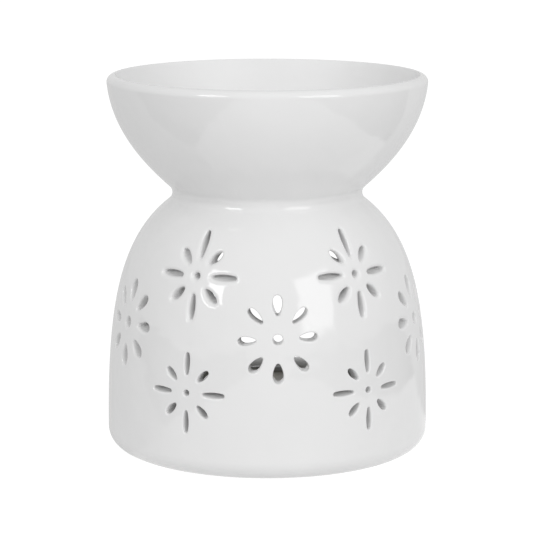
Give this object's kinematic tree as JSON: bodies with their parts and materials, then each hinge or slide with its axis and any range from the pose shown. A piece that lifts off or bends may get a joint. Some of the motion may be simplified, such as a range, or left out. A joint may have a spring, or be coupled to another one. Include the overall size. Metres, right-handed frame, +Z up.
{
  "type": "wax melt burner",
  "caption": "White glazed ceramic wax melt burner: a lantern pierced with daisies, an arch at the back for a tealight, and a round bowl on its neck that warms wax or oil.",
  "frame": {"origin": "centre of the foot ring, on the plane that the burner stands on", "axes": "+Z up the burner's axis towards the bowl, -Y towards the front daisy, +Y out of the arch that the tealight goes in by"},
  "size_m": [0.096, 0.096, 0.1114],
  "materials": {
    "glaze": "glossy white glaze on slip-cast earthenware",
    "cup_aluminium": "pressed bright foil",
    "wax": "cast paraffin wax, satin",
    "cotton": "braided cotton, waxed",
    "tinned_steel": "tinned sheet steel"
  },
  "bodies": {
    "burner": {"lantern_body": "glaze", "wax_bowl": "glaze"},
    "tealight": {"tealight_cup": "cup_aluminium", "candle_wax": "wax", "wick": "cotton", "wick_sustainer": "tinned_steel"}
  },
  "joints": [
    {"name": "tealight_draw", "type": "slide", "parent": "burner", "child": "tealight", "axis": [0, 0.9135, 0.4067], "range_m": [0, 0.076]}
  ]
}
